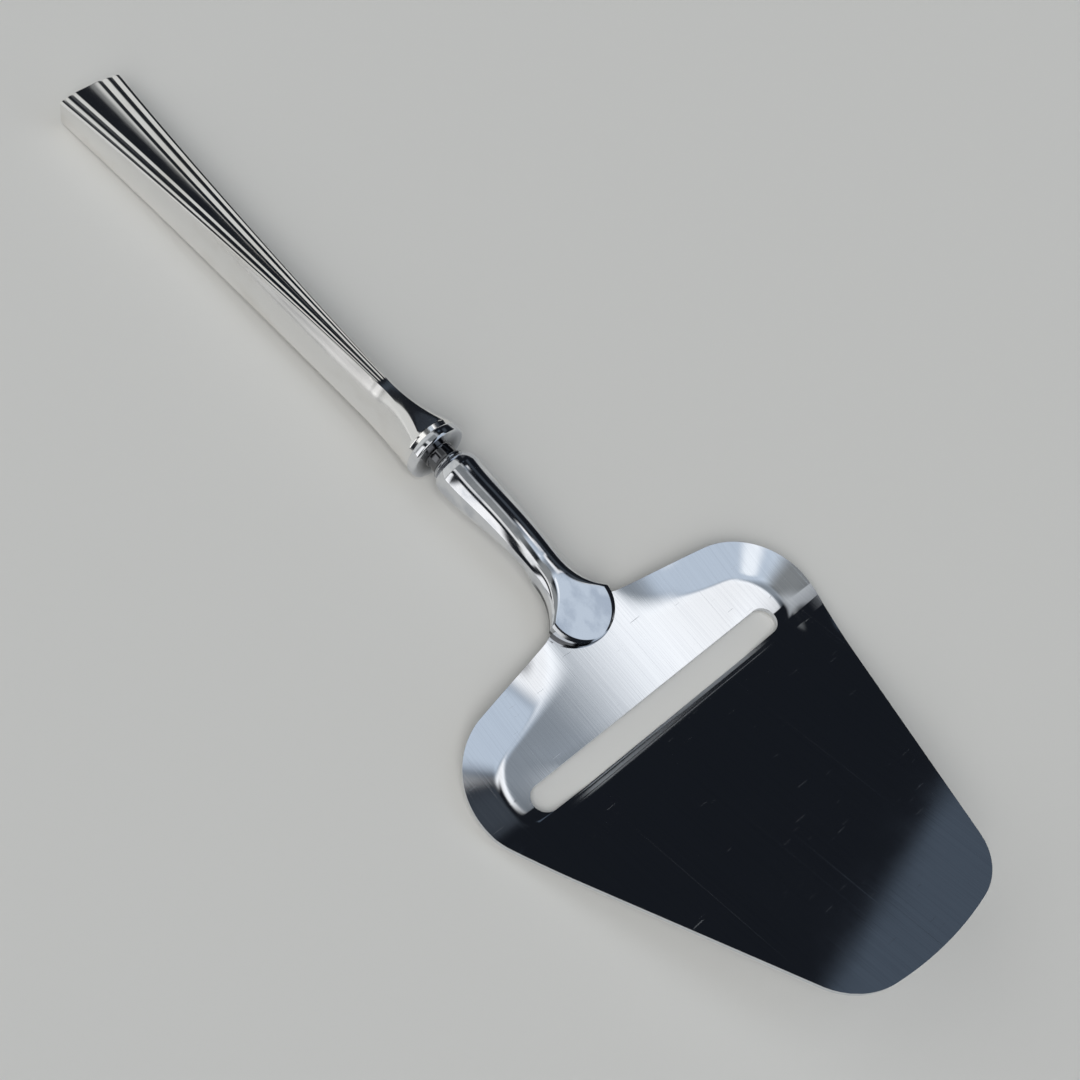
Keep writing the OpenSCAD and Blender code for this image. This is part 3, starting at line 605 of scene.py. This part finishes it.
def makeBlade(finish):
    piece = addGrid("bladeSheet", bladeRows())
    selectOnly(piece)
    bpy.ops.object.mode_set(mode="EDIT")
    bpy.ops.mesh.select_all(action="DESELECT")
    bpy.ops.object.mode_set(mode="OBJECT")
    for face in piece.data.polygons:
        face.select = inSlot(face.center.x, face.center.y)
    bpy.ops.object.mode_set(mode="EDIT")
    bpy.ops.mesh.delete(type="FACE")
    bpy.ops.mesh.select_all(action="SELECT")
    bpy.ops.mesh.normals_make_consistent(inside=False)
    bpy.ops.object.mode_set(mode="OBJECT")
    if piece.data.polygons[0].normal.z < 0:
        piece.data.flip_normals()
    topCount = len(piece.data.vertices)
    applyModifier(piece, "SOLIDIFY", thickness=blade["thick"] * mm, offset=-1.0)
    points = piece.data.vertices
    for v in list(points)[topCount:]:
        v.co = points[v.index - topCount].co - Vector((0, 0, blade["thick"] * mm))
    lipX = (tipX - blade["slotAt"]) * mm
    for v in list(points)[:topCount]:  # ground bevel down to the cutting edge, running out at both ends
        if abs(v.co.x - lipX) < blade["onEdge"] * mm:
            ground = smooth((slotSide - abs(v.co.y) / mm) / blade["lipRunOut"])
            v.co.z -= ground * (blade["thick"] - blade["edge"]) * mm
    closeSeams(piece)
    roundEdges(piece, blade["lipSharp"], blade["lipRound"], alongLip)
    roundEdges(piece, blade["sharp"], blade["rounding"], alongSheet)
    smoothShade(piece, blade["shadeAngle"])
    placePiece(piece, "blade", finish)


# shank: a forged pad, a tapering round shank and a turned bolster

bolster = {
    "height": 6.3, "flangeWidth": 11.6, "flangeThick": 2.0, "flangeRound": 0.5, "neckWidth": 5.4,
    "neckLength": 3.2, "ringWidth": 6.6, "ringThick": 0.9, "segments": 96, "arcStep": 15,
    "capRadius": 0.3, "neckFillet": (0.25, 0.08), "ringGap": 0.02,
}
shank = {
    "length": 34.0, "shoulderWidth": 8.9, "shoulderLength": 2.6, "width": 4.9, "flare": 12.0, "flarePower": 3,
    "padWidth": padWidth, "padLength": 6.2, "padThick": 1.3, "padBack": 0.1,
    "rootThick": 2.9, "facetPitch": 12.0, "facetBlend": 0.12, "shoulder": 0.8, "shoulderPitch": 22.0,
    "shoulderLip": 0.08, "heightPower": 1.1, "padPower": 0.3, "padSpread": 2.2, "flatFade": 3.0,
    "tang": (58.0, 3.6, 2.4), "tangDrop": 0.8, "tangRound": 0.3,
    "dip": 0.5, "dipFrom": 86.5, "dipRun": 5.0, "dipEnd": (92.0, 106.0), "shadeAngle": 40,
    "ringCols": 120, "padRows": 24, "firstRow": 0.12, "flareRows": 72, "bodyRows": 24, "shoulderRows": 16,
}
padAt = blade["rearAt"] - shank["padBack"]
shoulderAt = padAt + shank["length"]
bolsterLength = bolster["flangeThick"] + bolster["neckLength"]
jointAt = shoulderAt + bolsterLength


def shankSection(u):
    s = shank
    bodyAt = shoulderAt - s["shoulderLength"]
    run = clamp((u - padAt) / (bodyAt - padAt))
    near = clamp(1 - (u - padAt) / s["flare"])
    padRound = 1.0 if u >= padAt else math.sqrt(max(0.0, 1 - ((padAt - u) / s["padLength"]) ** 2))
    over = clamp((u - bodyAt) / s["shoulderLength"])
    neckShare = bolster["neckWidth"] / s["shoulderWidth"] + s["shoulderLip"]
    shoulder = mix(neckShare, 1, math.sqrt(max(0.0, 1 - over ** 2)))
    width = mix(s["width"], s["shoulderWidth"], run) + (s["padWidth"] - s["width"]) * near ** s["flarePower"]
    halfWidth = padRound * shoulder * width / 2

    def halfThick(at):
        share = clamp((at - padAt) / (bodyAt - padAt)) ** s["heightPower"]
        return mix(s["rootThick"], s["shoulderWidth"], share) / 2

    def lowFace(at):
        top = bolster["height"] + bolsterLength * math.sin(handlePitch) - s["shoulderWidth"] / 2
        if at <= tabEnd:
            return rearHeight(at)
        return mix(rearHeight(at), top, smooth((at - tabEnd) / (bodyAt - tabEnd)))

    thick = shoulder * halfThick(u)
    middle = lowFace(min(u, bodyAt)) + halfThick(min(u, bodyAt))
    power = mix(1, s["padPower"], near ** s["padSpread"])
    flat = clamp((tabEnd + s["flatFade"] - u) / s["flatFade"])
    front = padAt - s["padLength"]
    facet = rearHeight(front) + s["padThick"] + (u - front) * tangent(blade["rearPitch"] + s["facetPitch"])
    dipFull, dipOut = s["dipEnd"]
    dip = s["dip"] * smooth((u - s["dipFrom"]) / s["dipRun"]) * smooth((dipOut - u) / (dipOut - dipFull))
    ring = []
    for q in range(s["ringCols"] + 1):
        a = 360 * q / s["ringCols"]
        share = flat if sine(a) < -tiny else 0
        y = halfWidth * signedPow(cosine(a), mix(power, 1, share))
        z = middle + thick * mix(signedPow(sine(a), power), -1, share) - dip * max(0.0, sine(a))
        inside = halfWidth - s["shoulder"] - abs(y)
        roof = softLess(facet, facet + inside * tangent(s["shoulderPitch"]), s["facetBlend"])
        ring.append(Vector((tipX - u, y, softLess(z, roof, s["facetBlend"]))))
    return ring


def makeShank(finish):
    s = shank
    first, count = s["firstRow"], s["padRows"]
    bodyAt = shoulderAt - s["shoulderLength"]
    lines = [padAt - s["padLength"] * cosine(90 * (i + first) / (count + first)) for i in range(count)]
    lines += [padAt + s["flare"] * i / s["flareRows"] for i in range(s["flareRows"] + 1)]
    lines += evenSteps(padAt + s["flare"], bodyAt, s["bodyRows"])
    lines += [bodyAt + s["shoulderLength"] * sine(turn) for turn in evenSteps(0, 90, s["shoulderRows"])]
    piece = addGrid("shankForging", [shankSection(u) for u in lines])
    closeSeams(piece)
    fillEnds(piece)
    turned = makeBolster()
    selectOnly(piece)
    turned.select_set(True)
    bpy.ops.object.join()
    smoothShade(piece, s["shadeAngle"])
    placePiece(piece, "shank", finish)


def fillEnds(piece):
    # closes the two open ends of the shank and turns all faces outwards
    selectOnly(piece)
    bpy.ops.object.mode_set(mode="EDIT")
    bpy.ops.mesh.select_all(action="SELECT")
    bpy.ops.mesh.fill_holes(sides=0)
    bpy.ops.mesh.normals_make_consistent(inside=False)
    bpy.ops.object.mode_set(mode="OBJECT")


def bolsterProfile():
    # (distance from the joint, radius) of flange, neck and ring
    b = bolster
    r, rim, flange = b["flangeRound"], b["flangeWidth"] / 2, b["flangeThick"]
    neck, (fillet, hollow) = b["neckWidth"] / 2, b["neckFillet"]
    quarter, halfTurn = range(0, 91, b["arcStep"]), range(0, 181, b["arcStep"])
    points = [(0, b["capRadius"])]
    points += [(r - r * cosine(a), rim - r + r * sine(a)) for a in quarter]
    points += [(flange - r + r * sine(a), rim - r + r * cosine(a)) for a in quarter]
    points += [(flange, neck + fillet), (flange + hollow, neck + hollow), (flange + fillet, neck)]
    radius = b["ringThick"] / 2
    centre, crest = bolsterLength - radius, b["ringWidth"] / 2 - radius
    points += [(centre - radius * cosine(a), crest + radius * sine(a)) for a in halfTurn]
    stop = bolsterLength + shank["shoulderLength"] / 2
    points += [(bolsterLength + b["ringGap"], neck), (stop, neck), (stop, b["capRadius"])]
    return points


def makeBolster():
    profile = bolsterProfile()
    bpy.ops.object.select_all(action="DESELECT")
    x, radius = profile[0]
    bpy.ops.mesh.primitive_circle_add(vertices=bolster["segments"], radius=radius * mm, fill_type="NGON",
                                      location=(x * mm, 0, 0), rotation=(0, math.pi / 2, 0))
    piece = bpy.context.active_object
    bpy.ops.object.transform_apply(location=True, rotation=True, scale=True)
    bpy.ops.object.mode_set(mode="EDIT")
    bpy.ops.mesh.select_all(action="SELECT")
    for nextX, nextRadius in profile[1:]:  # ring after ring along the axis
        bpy.ops.mesh.extrude_region_move(TRANSFORM_OT_translate={"value": ((nextX - x) * mm, 0, 0)})
        scale = nextRadius / radius
        bpy.ops.transform.resize(value=(1, scale, scale), center_override=(nextX * mm, 0, 0))
        x, radius = nextX, nextRadius
    bpy.ops.mesh.select_all(action="SELECT")
    bpy.ops.mesh.normals_make_consistent(inside=False)
    bpy.ops.object.mode_set(mode="OBJECT")
    length, width, thick = shank["tang"]
    bpy.ops.mesh.primitive_cube_add(size=1, location=((bolster["flangeThick"] / 2 - length) / 2 * mm, 0,
                                                      -shank["tangDrop"] * mm))
    tang = bpy.context.active_object
    tang.scale = ((length + bolster["flangeThick"] / 2) * mm, width * mm, thick * mm)
    bpy.ops.object.transform_apply(location=True, rotation=True, scale=True)
    applyModifier(tang, "BEVEL", width=shank["tangRound"] * mm, segments=meshWork["roundSegments"])
    selectOnly(piece)
    tang.select_set(True)
    bpy.ops.object.join()
    lean = handleAxis.copy()
    lean.translation *= mm
    piece.data.transform(lean)
    return piece


# handle: a deep fluted upper shell and a shallow plain lower one, on an axis that leans to the table

handle = {
    "length": 100.8, "endWidth": 13.9, "endThick": 6.2, "endBow": 1.2, "waistAt": 12.5, "waistWidth": 8.6,
    "waistRise": 4.2, "waistDrop": 4.5, "seamCollar": 2.4, "seamEnd": 0.8, "fanCurve": 0.4,
    "collarWidth": 11.1, "collarLength": 0.9, "collarChamfer": 0.25, "wall": 0.7,
    "upperSide": (0.45, 58), "lowerSide": (1.0, 55),   # roundness, and the edge's angle on the collar
    "faceEnd": 13.5, "faceWaist": 1.9, "backEnd": 12.9, "backWaist": 4.8,
    "beadWidth": 2.1, "ribWidth": 1.2, "fluteWidth": 5.2, "waistShares": (0.8, 0.31, 0.08), "flutePower": 1.2,
    "beadTilt": 28.0, "ribCrown": 0.36, "ribTilt": 24.0, "fluteTilt": 6.0, "dish": 0.5,
    "fluteStart": 1.2, "fluteRun": 1.0, "neckFlat": (4.75, 4.35), "neckBlend": 0.2, "neckSkin": 0.1,
    "edgeRound": 0.3, "edgeRun": 9.0, "edgeWaist": 0.45, "edgeInset": 0.75, "edgeTurns": (0, 30, 60),
    "endRound": 0.35, "bowPower": 8, "shadeAngle": 38, "collarRows": (0, 0.25, 0.6, 1), "smoothRows": 2,
    "sideCols": 16, "beadCols": 14, "fluteCols": 20, "neckRows": 26, "runRows": 6, "longRows": 64,
    "roundRows": 6, "endRows": 6,
}
halfEnd = handle["endThick"] / 2
handlePitch = (math.asin(bolster["height"] / math.hypot(handle["length"], halfEnd))
               - math.atan2(halfEnd, handle["length"]))
handleAxis = (Matrix.Translation((tipX - jointAt, 0, bolster["height"]))
              @ Matrix.Rotation(-handlePitch, 4, "Y"))
fluteFrom = handle["waistAt"] + handle["fluteStart"]
fluteFull = fluteFrom + handle["fluteRun"]


def handleTaper(h):
    return clamp((h - handle["waistAt"]) / (handle["length"] - handle["waistAt"]))


def handleFan(h):
    t = handleTaper(h)
    return t - handle["fanCurve"] * t * (1 - t)


def collarRadius(h):
    return handle["collarWidth"] / 2 - handle["collarChamfer"] * clamp(1 - h / handle["collarLength"])


def collarMix(h):
    return clamp(1 - (h - handle["collarLength"]) / (handle["waistAt"] - handle["collarLength"])) ** 2


def seamDrop(h):
    return mix(handle["seamCollar"], handle["seamEnd"], h / handle["length"])


def faceHalfWidth(h, low):
    waist, end = ("backWaist", "backEnd") if low else ("faceWaist", "faceEnd")
    return mix(handle[waist], handle[end], handleFan(h)) / 2


def fluteFade(h):
    return smooth((h - fluteFrom) / handle["fluteRun"])


def faceRelief(h):
    # places across the face from 1 to -1 with the depth there: rib, bead, rib, broad flute, and back
    half = faceHalfWidth(h, False)
    share = handleTaper(h) ** handle["flutePower"]
    ribEnd = 1 - 2 * handle["ribWidth"] / handle["faceEnd"]
    beadEnd = ribEnd - 2 * handle["beadWidth"] / handle["faceEnd"]
    ends = (ribEnd, beadEnd, handle["fluteWidth"] / handle["faceEnd"])
    outer, inner, crest = (mix(a, b, share) for a, b in zip(handle["waistShares"], ends))
    tilt, n, m = handle["beadTilt"], handle["beadCols"], handle["fluteCols"]
    radius = (outer - inner) * half / 2 / sine(tilt)
    drop = radius * (1 - cosine(tilt))
    line = []
    crown = handle["ribCrown"]
    lean = tangent(handle["ribTilt"]) * crown * (1 - outer) * half / 2
    for i in range(n // 2):  # the edge rib rises a little from the side and falls to the first groove
        q = 2 * i / n - crown
        depth = lean * (q / crown) ** 2 if q < 0 else drop * (q / (1 - crown)) ** 2
        line.append((mix(1, outer, q + crown), depth))
    for i in range(n):
        turn = tilt * (1 - 2 * i / n)
        place = (outer + inner) / 2 + (outer - inner) / 2 * sine(turn) / sine(tilt)
        line.append((place, radius * (1 - cosine(turn))))
    for i in range(n // 2):
        q = 1 - 2 * i / n
        line.append((mix(crest, inner, q), drop * q * q))
    hollow = crest * half * tangent(handle["fluteTilt"]) / 2
    middle = []
    for i in range(m + 1):
        q = 1 - 2 * i / m
        middle.append((crest * q, hollow * (1 - q * q)))
    line = line + middle + [(-p, d) for p, d in reversed(line)]
    dish = handle["dish"] * half / (handle["faceEnd"] / 2)
    fade = fluteFade(h)
    return [(p, fade * (d + dish * (1 - p * p))) for p, d in line]


def extent(section):
    return max(y for y, z in section), max(z for y, z in section)


def shellSection(h, low, inner):
    # section of one shell at distance h from the collar, from side to side, as (y, height from the seam)
    back = handleFan(h)
    sign = -1 if low else 1
    halfWidth = mix(handle["waistWidth"], handle["endWidth"], back) / 2
    rise = mix(handle["waistDrop"] if low else handle["waistRise"], halfEnd, handleTaper(h))
    height = rise + sign * seamDrop(h)
    faceHalf = faceHalfWidth(h, low)
    relief = faceRelief(h)
    bulge, edgeAngle = handle["lowerSide"] if low else handle["upperSide"]
    radius = collarRadius(h)
    blend = collarMix(h)
    seamAngle = -sign * math.degrees(math.asin(seamDrop(h) / radius))
    drop, edge = 0, 0
    if not low and not inner:
        drop = relief[0][1]
        edge = (handle["edgeRound"] * smooth((h - fluteFrom) / handle["edgeRun"])
                * mix(handle["edgeWaist"], 1, back))
    faceHalf -= handle["edgeInset"] * edge
    flat = mix(*handle["neckFlat"], clamp(h / handle["waistAt"])) + seamDrop(h)  # flat top of the neck
    flatNeck = not low and handle["collarLength"] < h < handle["waistAt"]
    points = []

    def addPoint(y, z, angle):
        around = (radius * cosine(angle), radius * sine(angle) + sign * seamDrop(h))
        tall = mix(z, around[1], blend)
        if flatNeck:
            tall = softLess(tall, flat, handle["neckBlend"])
        points.append((mix(y, around[0], blend), tall))

    steps = handle["sideCols"]
    for i in range(steps):
        t = i / steps
        wide = mix(faceHalf + edge, halfWidth, mix(1 - t, 1 - t * t, bulge))
        addPoint(wide, (height - drop - edge) * t, mix(seamAngle, edgeAngle, t))
    for turn in handle["edgeTurns"]:  # rounded upper edge of the side
        addPoint(faceHalf + edge * cosine(turn), height - drop - edge * (1 - sine(turn)), edgeAngle)
    sideCount = len(points)
    for p, d in relief:
        sunk = 0 if low or inner else d
        addPoint(faceHalf * p, height - sunk, mix(edgeAngle, 180 - edgeAngle, (1 - p) / 2))
    for y, z in reversed(points[:sideCount]):
        points.append((-y, z))
    if inner:
        wide, tall = extent(points)
        wall, roof = handle["wall"], flat - handle["neckSkin"]
        sunk = wall + (0 if low else max(d for p, d in relief))
        points = [(y * (wide - wall) / wide, min(z * (tall - sunk) / tall, roof)) for y, z in points]
    return points


def shellRows(low, inner):
    h = handle
    stop = h["length"] - h["endRound"]
    lines = [h["collarLength"] * share for share in h["collarRows"]]
    lines += evenSteps(h["collarLength"], h["waistAt"], h["neckRows"])
    lines += evenSteps(h["waistAt"], fluteFrom, h["smoothRows"])
    lines += evenSteps(fluteFrom, fluteFull, h["runRows"])
    lines += evenSteps(fluteFull, stop, h["longRows"])
    shapes = [(line, line, 0.0, 1.0) for line in lines]  # station, distance, inset, height share
    for i in range(1, h["roundRows"] + 1):
        turn = 90 * i / h["roundRows"]
        shapes.append((stop, stop + h["endRound"] * sine(turn), h["endRound"] * (1 - cosine(turn)), 1.0))
    for i in range(1, h["endRows"] + 1):
        shapes.append((stop, h["length"], h["endRound"], 1 - i / h["endRows"]))
    sign = -1 if low else 1
    cavity = (h["length"] - h["endBow"] - h["wall"]) / h["length"]
    rows = []
    for station, distance, inset, share in shapes:
        section = shellSection(station * (cavity if inner else 1), low, inner)
        wide, tall = extent(section)
        row = []
        for y, z in section:
            y *= 1 - inset / wide
            z *= share * (1 - inset / tall)
            bow = h["endBow"] * (y / (h["endWidth"] / 2)) ** 2 * (distance / h["length"]) ** h["bowPower"]
            back = distance * cavity if inner else distance - bow
            row.append(handleAxis @ Vector((-back, y, sign * z - seamDrop(back))))
        rows.append(row)
    return rows


def makeShell(name, node, low, finish):
    outer, inner = shellRows(low, False), shellRows(low, True)
    piece = addGrid(name, outer)
    if (piece.data.polygons[0].normal.z < 0) != low:
        piece.data.flip_normals()
    outerCount = len(piece.data.vertices)
    applyModifier(piece, "SOLIDIFY", thickness=handle["wall"] * mm, offset=-1.0)
    for v in list(piece.data.vertices)[outerCount:]:
        i, j = divmod(v.index - outerCount, len(outer[0]))
        v.co = Vector(inner[i][j]) * mm
    closeSeams(piece)
    smoothShade(piece, handle["shadeAngle"])
    placePiece(piece, node, finish)


footSlope = -tangent(blade["rearPitch"])
footHeight = (rearHeight(padAt) - footSlope * (tipX - padAt)) * mm
silver, silverShadedBelow = silverFinish("polishedSilver", False), silverFinish("silverPaintedShade", True)
steel, bladeSteel = steelFinish(footSlope, footHeight), bladeFinish()
makeBlade(bladeSteel)
makeShank(steel)
makeShell("upperShell", "handle_upper_shell", False, silver)
makeShell("lowerShell", "handle_lower_shell", True, silverShadedBelow)
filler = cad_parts["handle_filler"]
filler.data.materials.clear()
filler.data.materials.append(cementFinish())
print("pieces done")


# floor, light and camera

stageLook = {
    "floor": (0.70, 0.695, 0.675), "floorRoughness": 0.85, "size": 60.0,
    "dark": (0.010, 0.012, 0.016),
    "horizon": 0.22, "horizonHeight": (0.03, 0.12), "panelFoot": 0.05,
    "lampSeen": 0.25,   # share of the overhead lamp that the lens and the metal see, to stay below white
}
# soft panels over the table: ranges of the direction's x and y, soft edge, light
studioPanels = {
    "ceiling": ((-0.06, 0.13), (0.445, 0.555), 0.035, (1.12, 1.12, 1.12)),
    "ceilingSide": ((0.07, 0.13), (0.555, 0.635), 0.035, (1.12, 1.12, 1.12)),
    "plate": ((-0.06, 0.055), (0.25, 0.47), 0.04, (0.27, 0.30, 0.33)),
    "sky": ((0.14, 1.2), (0.17, 0.62), 0.05, (0.60, 0.68, 0.78)),
    "skyLow": ((0.06, 0.14), (0.17, 0.445), 0.05, (0.60, 0.68, 0.78)),
    "arc": ((0.16, 0.26), (0.21, 0.31), 0.03, (0.50, 0.46, 0.40)),
    "glint": ((-0.42, -0.05), (0.17, 0.32), 0.04, (0.30, 0.31, 0.32)),
    "wall": ((-0.42, 0.10), (-0.34, 0.25), 0.08, (0.25, 0.26, 0.26)),
    "side": ((-0.40, 0.05), (-0.50, -0.34), 0.04, (0.85, 0.85, 0.84)),
    "farWall": ((-1.2, -0.42), (-1.2, 0.22), 0.05, (0.63, 0.64, 0.63)),
    "farGrey": ((-1.2, -0.60), (0.20, 0.335), 0.025, (0.19, 0.195, 0.195)),
    "farDim": ((-1.2, -0.60), (0.62, 0.80), 0.03, (0.06, 0.062, 0.066)),
    "tipGlow": ((-0.437, -0.37), (0.42, 0.545), 0.006, (0.062, 0.08, 0.104)),
    "corner": ((-0.40, 0.12), (0.66, 0.80), 0.035, (0.044, 0.052, 0.062)),
    "window": ((-0.38, -0.12), (-1.2, -0.68), 0.04, (1.1, 1.1, 1.1)),
    "overhead": ((0.05, 0.66), (-0.78, -0.20), 0.05, (3.9, 3.9, 3.85)),
}


def makeFloor():
    bpy.ops.object.select_all(action="DESELECT")
    bpy.ops.mesh.primitive_plane_add(size=stageLook["size"], location=(0, 0, 0))
    floor = bpy.context.active_object
    floor.name = "floor"
    finish, _, shader = startFinish("paleFloor", 0.0, stageLook["floor"])
    shader.inputs["Roughness"].default_value = stageLook["floorRoughness"]
    floor.data.materials.append(finish)


def panelLight(tree, axes, panel):
    xRange, yRange, soft, light = panel
    edges = []
    for axis, (low, high) in (("X", xRange), ("Y", yRange)):
        edges.append(ranged(tree, axes[axis], low - soft, low + soft, 0, 1))
        edges.append(ranged(tree, axes[axis], high - soft, high + soft, 1, 0))
    mask = product(tree, *edges, ranged(tree, axes["Z"], 0.0, stageLook["panelFoot"], 0, 1))
    return vectorMath(tree, "SCALE", {0: light, "Scale": mask})


def makeLight():
    world = bpy.data.worlds.new("studio")
    bpy.context.scene.world = world
    world.use_nodes = True
    tree = world.node_tree
    direction = addNode(tree, "ShaderNodeTexCoord").outputs["Generated"]
    axes = addNode(tree, "ShaderNodeSeparateXYZ", {0: direction}).outputs
    low = ranged(tree, axes["Z"], *stageLook["horizonHeight"], stageLook["horizon"], 0)
    total = addNode(tree, "ShaderNodeCombineXYZ", {0: low, 1: low, 2: low}).outputs[0]
    total = vectorMath(tree, "ADD", {0: total, 1: stageLook["dark"]})
    path = addNode(tree, "ShaderNodeLightPath").outputs
    seen = combined(tree, "MAXIMUM", path["Is Camera Ray"], path["Is Glossy Ray"])
    share = ranged(tree, seen, 0, 1, 1, stageLook["lampSeen"])
    for name, panel in studioPanels.items():
        light = panelLight(tree, axes, panel)
        if name == "overhead":
            light = vectorMath(tree, "SCALE", {0: light, "Scale": share})
        total = vectorMath(tree, "ADD", {0: total, 1: light})
    tree.links.new(total, tree.nodes["Background"].inputs["Color"])
    tree.nodes["Background"].inputs["Strength"].default_value = 1.0


photoView = {"place": (-11.279, -144.643, 278.636), "turn": (30.183, -10.771, 47.239),
             "lens": 61.667, "sensor": 36.0, "clipStart": 0.01}


def makeCamera():
    bpy.ops.object.camera_add()
    camera = bpy.context.active_object
    camera.name = "photoCamera"
    camera.data.lens = photoView["lens"]
    camera.data.sensor_width = photoView["sensor"]
    camera.location = (Vector(photoView["place"]) + Vector((tipX, 0, 0))) * mm
    camera.rotation_euler = Euler([math.radians(a) for a in photoView["turn"]])
    camera.data.clip_start = photoView["clipStart"]
    bpy.context.scene.camera = camera


makeFloor()
makeLight()
makeCamera()
bpy.context.scene.view_settings.view_transform = "Standard"
print("stage done")
